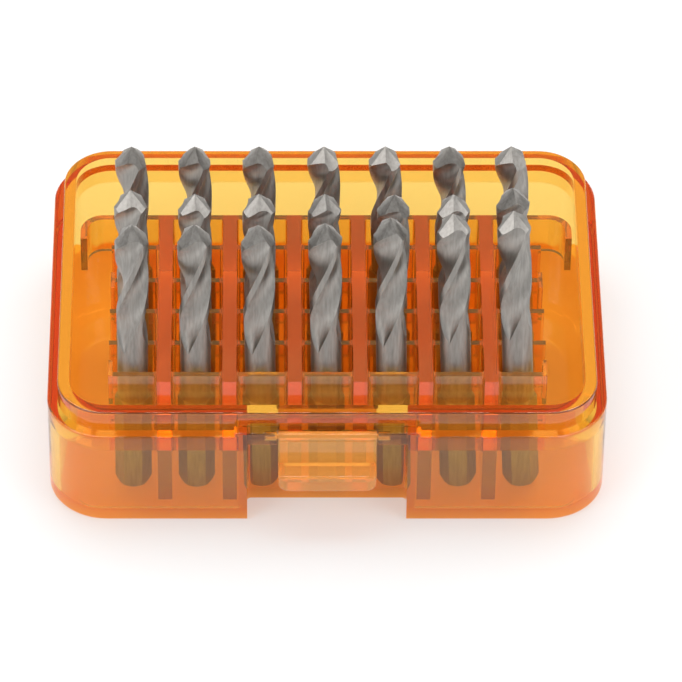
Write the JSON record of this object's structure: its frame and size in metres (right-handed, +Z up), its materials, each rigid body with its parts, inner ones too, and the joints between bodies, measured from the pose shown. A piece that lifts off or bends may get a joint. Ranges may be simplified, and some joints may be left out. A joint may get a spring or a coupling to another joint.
{
  "type": "drill bit case",
  "caption": "Open translucent plastic case base with a lid lip, a front latch flap and a holder grid that keeps hex shank twist drills upright.",
  "frame": {"origin": "on the table, under the middle of the base's outline", "axes": "+X to the right across the rows, +Y from the latch to the back, +Z up along the drills"},
  "size_m": [0.112, 0.0857, 0.0741],
  "materials": {
    "case_plastic": "moulded translucent orange, glossy",
    "holder_plastic": "moulded translucent orange, glossy",
    "latch_plastic": "moulded translucent orange, glossy",
    "drill_steel": "ground high speed steel"
  },
  "bodies": {
    "case": {"base_shell": "case_plastic", "bit_holder": "holder_plastic"},
    "front_latch": {"front_latch": "latch_plastic"},
    "front_drill_bit_1": {"front_drill_bit_1": "drill_steel"},
    "front_drill_bit_2": {"front_drill_bit_2": "drill_steel"},
    "front_drill_bit_3": {"front_drill_bit_3": "drill_steel"},
    "front_drill_bit_4": {"front_drill_bit_4": "drill_steel"},
    "front_drill_bit_5": {"front_drill_bit_5": "drill_steel"},
    "front_drill_bit_6": {"front_drill_bit_6": "drill_steel"},
    "front_drill_bit_7": {"front_drill_bit_7": "drill_steel"},
    "middle_drill_bit_1": {"middle_drill_bit_1": "drill_steel"},
    "middle_drill_bit_2": {"middle_drill_bit_2": "drill_steel"},
    "middle_drill_bit_3": {"middle_drill_bit_3": "drill_steel"},
    "middle_drill_bit_4": {"middle_drill_bit_4": "drill_steel"},
    "middle_drill_bit_5": {"middle_drill_bit_5": "drill_steel"},
    "middle_drill_bit_6": {"middle_drill_bit_6": "drill_steel"},
    "middle_drill_bit_7": {"middle_drill_bit_7": "drill_steel"},
    "back_drill_bit_1": {"back_drill_bit_1": "drill_steel"},
    "back_drill_bit_2": {"back_drill_bit_2": "drill_steel"},
    "back_drill_bit_3": {"back_drill_bit_3": "drill_steel"},
    "back_drill_bit_4": {"back_drill_bit_4": "drill_steel"},
    "back_drill_bit_5": {"back_drill_bit_5": "drill_steel"},
    "back_drill_bit_6": {"back_drill_bit_6": "drill_steel"},
    "back_drill_bit_7": {"back_drill_bit_7": "drill_steel"}
  },
  "joints": [
    {"name": "latch_hinge", "type": "hinge", "parent": "case", "child": "front_latch", "pos_m": [0, -0.0401, 0.02285], "axis": [-1, 0, 0], "range_deg": [0, 160]},
    {"name": "front_drill_bit_1_lift", "type": "slide", "parent": "case", "child": "front_drill_bit_1", "axis": [0.0094, 0, 1], "range_m": [0, 0.04]},
    {"name": "front_drill_bit_2_lift", "type": "slide", "parent": "case", "child": "front_drill_bit_2", "axis": [0, 0, 1], "range_m": [0, 0.04]},
    {"name": "front_drill_bit_3_lift", "type": "slide", "parent": "case", "child": "front_drill_bit_3", "axis": [-0.0125, 0, 0.9999], "range_m": [0, 0.04]},
    {"name": "front_drill_bit_4_lift", "type": "slide", "parent": "case", "child": "front_drill_bit_4", "axis": [-0.0125, 0, 0.9999], "range_m": [0, 0.04]},
    {"name": "front_drill_bit_5_lift", "type": "slide", "parent": "case", "child": "front_drill_bit_5", "axis": [-0.0199, 0, 0.9998], "range_m": [0, 0.04]},
    {"name": "front_drill_bit_6_lift", "type": "slide", "parent": "case", "child": "front_drill_bit_6", "axis": [-0.0361, 0, 0.9993], "range_m": [0, 0.04]},
    {"name": "front_drill_bit_7_lift", "type": "slide", "parent": "case", "child": "front_drill_bit_7", "axis": [-0.0492, 0, 0.9988], "range_m": [0, 0.04]},
    {"name": "middle_drill_bit_1_lift", "type": "slide", "parent": "case", "child": "middle_drill_bit_1", "axis": [-0.0031, 0, 1], "range_m": [0, 0.04]},
    {"name": "middle_drill_bit_2_lift", "type": "slide", "parent": "case", "child": "middle_drill_bit_2", "axis": [-0.0037, 0, 1], "range_m": [0, 0.04]},
    {"name": "middle_drill_bit_3_lift", "type": "slide", "parent": "case", "child": "middle_drill_bit_3", "axis": [-0.0075, 0, 1], "range_m": [0, 0.04]},
    {"name": "middle_drill_bit_4_lift", "type": "slide", "parent": "case", "child": "middle_drill_bit_4", "axis": [-0.0094, 0, 1], "range_m": [0, 0.04]},
    {"name": "middle_drill_bit_5_lift", "type": "slide", "parent": "case", "child": "middle_drill_bit_5", "axis": [-0.0012, 0, 1], "range_m": [0, 0.04]},
    {"name": "middle_drill_bit_6_lift", "type": "slide", "parent": "case", "child": "middle_drill_bit_6", "axis": [-0.0256, 0, 0.9997], "range_m": [0, 0.04]},
    {"name": "middle_drill_bit_7_lift", "type": "slide", "parent": "case", "child": "middle_drill_bit_7", "axis": [-0.0448, 0, 0.999], "range_m": [0, 0.04]},
    {"name": "back_drill_bit_1_lift", "type": "slide", "parent": "case", "child": "back_drill_bit_1", "axis": [-0.0037, 0, 1], "range_m": [0, 0.04]},
    {"name": "back_drill_bit_2_lift", "type": "slide", "parent": "case", "child": "back_drill_bit_2", "axis": [-0.0075, 0, 1], "range_m": [0, 0.04]},
    {"name": "back_drill_bit_3_lift", "type": "slide", "parent": "case", "child": "back_drill_bit_3", "axis": [-0.0094, 0, 1], "range_m": [0, 0.04]},
    {"name": "back_drill_bit_4_lift", "type": "slide", "parent": "case", "child": "back_drill_bit_4", "axis": [-0.0094, 0, 1], "range_m": [0, 0.04]},
    {"name": "back_drill_bit_5_lift", "type": "slide", "parent": "case", "child": "back_drill_bit_5", "axis": [-0.0218, 0, 0.9998], "range_m": [0, 0.04]},
    {"name": "back_drill_bit_6_lift", "type": "slide", "parent": "case", "child": "back_drill_bit_6", "axis": [-0.0305, 0, 0.9995], "range_m": [0, 0.04]},
    {"name": "back_drill_bit_7_lift", "type": "slide", "parent": "case", "child": "back_drill_bit_7", "axis": [-0.0467, 0, 0.9989], "range_m": [0, 0.04]}
  ]
}
